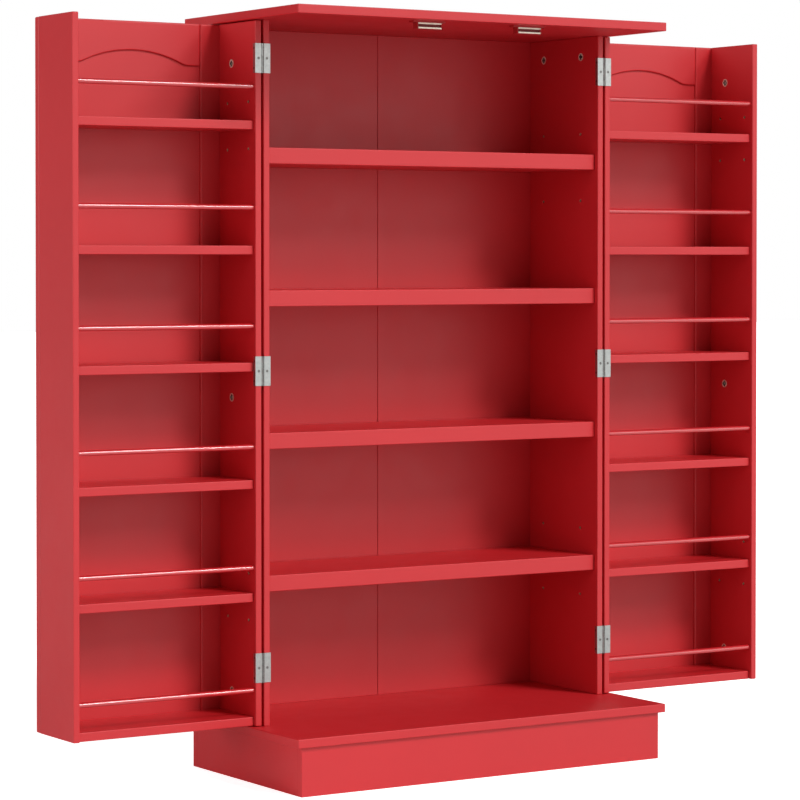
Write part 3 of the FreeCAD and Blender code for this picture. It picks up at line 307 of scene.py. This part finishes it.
def pieces(mesh):
    """Every polygon with the lower and upper corner of the box round its connected piece."""
    piece_of = islands(mesh)
    boxes = {}
    for vertex in mesh.vertices:
        low, high = boxes.setdefault(piece_of[vertex.index],
                                     (list(vertex.co), list(vertex.co)))
        for axis in range(3):
            low[axis] = min(low[axis], vertex.co[axis])
            high[axis] = max(high[axis], vertex.co[axis])
    return [(polygon, *boxes[piece_of[polygon.vertices[0]]]) for polygon in mesh.polygons]


def in_hole(polygon, low, high):
    """Whether a board's polygon is on the wall of a drilled hole, below the board's skin."""
    centre = polygon.center
    depth = min(min(centre[axis] - low[axis], high[axis] - centre[axis]) for axis in range(3))
    return depth > SKIN


def in_knuckle_shade(polygon):
    """Whether a hinge's polygon is on the crest of a knuckle, which is painted dark as shade."""
    x, y, _ = polygon.center
    return any(abs(x - pin_x) < CREST_REACH and math.hypot(x - pin_x, y - pin_y) < BARREL_REACH
               for pin_x, pin_y in PINS)


def in_recess(polygon, low, high):
    """Whether a cam lock's polygon is in its shade-painted recess; the lock turns about an axis
    along X.
    """
    x, y, z = polygon.center
    off_axis = math.hypot(y - (low[1] + high[1]) / 2, z - (low[2] + high[2]) / 2)
    return off_axis < SLOT_REACH and min(x - low[0], high[0] - x) > SLOT_START


def cover(node, polygons, material):
    """Puts a material on some of a node's polygons, in a slot of its own."""
    slot = len(node.data.materials)
    node.data.materials.append(material)
    for polygon in polygons:
        polygon.material_index = slot


for part in frame["record"]["subparts"]:
    name = part["node"]
    if name.endswith("strike_plate"):
        material = PAINT
    elif name == "carcass_screws" or name.endswith("hinge_screws"):
        material = DARK_STEEL_AND_SHADE
    else:
        material = MATERIALS[part["material_slot"]]
    nodes[name].data.materials.clear()
    nodes[name].data.materials.append(material)

for name in DRILLED:
    board = nodes[name]
    cover(board, [piece[0] for piece in pieces(board.data) if in_hole(*piece)], BOARD)

for body in frame["bodies"]:
    # Painted shade: the crests of the knuckles get the dark steel.
    leaves = nodes[f"{body}_hinge_leaves"]
    cover(leaves, [polygon for polygon in leaves.data.polygons if in_knuckle_shade(polygon)], DARK_STEEL_AND_SHADE)
    # Painted shade: the recesses of the cam locks get the dark steel.
    locks = nodes[f"{body}_cam_locks"]
    cover(locks, [piece[0] for piece in pieces(locks.data) if in_recess(*piece)], DARK_STEEL_AND_SHADE)


# ---------------------------------------------------------------- floor, light and camera

def add_floor():
    bpy.ops.mesh.primitive_plane_add(size=FLOOR_SIZE)
    floor = bpy.context.object
    floor.name = "floor"
    floor.data.materials.append(floor_material())


def add_lamp(name, azimuth, elevation, strength, softness):
    """A wide, even light from far off; azimuth 0 is straight in front. Angles are in degrees."""
    turn, rise = math.radians(azimuth), math.radians(elevation)
    out = Vector((math.sin(turn) * math.cos(rise), -math.cos(turn) * math.cos(rise),
                  math.sin(rise)))
    data = bpy.data.lights.new(name, "SUN")
    data.energy = strength
    data.angle = math.radians(softness)
    lamp = bpy.data.objects.new(name, data)
    lamp.rotation_euler = out.to_track_quat("Z", "Y").to_euler()
    scene.collection.objects.link(lamp)


def add_sky(light, seen):
    """An even white surround; the camera sees it at its own brightness."""
    world = bpy.data.worlds.new("surround")
    world.use_nodes = True
    tree = world.node_tree
    background = tree.nodes["Background"]
    background.inputs["Color"].default_value = (1, 1, 1, 1)
    tree.links.new(seen_level(tree, light, seen), background.inputs["Strength"])
    scene.world = world


def add_camera():
    data = bpy.data.cameras.new("camera")
    data.lens = LENS
    data.sensor_width = SENSOR_WIDTH
    data.shift_y = -SHIFT_DOWN
    data.clip_start, data.clip_end = NEAREST, FARTHEST
    camera = bpy.data.objects.new("camera", data)
    camera.location = EYE
    camera.rotation_euler = (math.pi / 2 - PITCH, 0, -YAW)
    scene.collection.objects.link(camera)
    scene.camera = camera


add_floor()
add_sky(light=0.1, seen=1.0)
add_lamp("key_left", azimuth=20, elevation=44, strength=1.60, softness=12)
add_lamp("key_right", azimuth=30, elevation=30, strength=0.74, softness=12)
add_lamp("side_low", azimuth=-75, elevation=12, strength=0.50, softness=30)
add_lamp("side_rear", azimuth=-105, elevation=12, strength=0.97, softness=30)
add_lamp("front_fill", azimuth=20, elevation=8, strength=0.46, softness=40)
add_lamp("right_fill", azimuth=55, elevation=8, strength=0.37, softness=40)
add_lamp("back_fill", azimuth=165, elevation=22, strength=0.50, softness=40)
add_camera()
scene.view_settings.view_transform = "Standard"
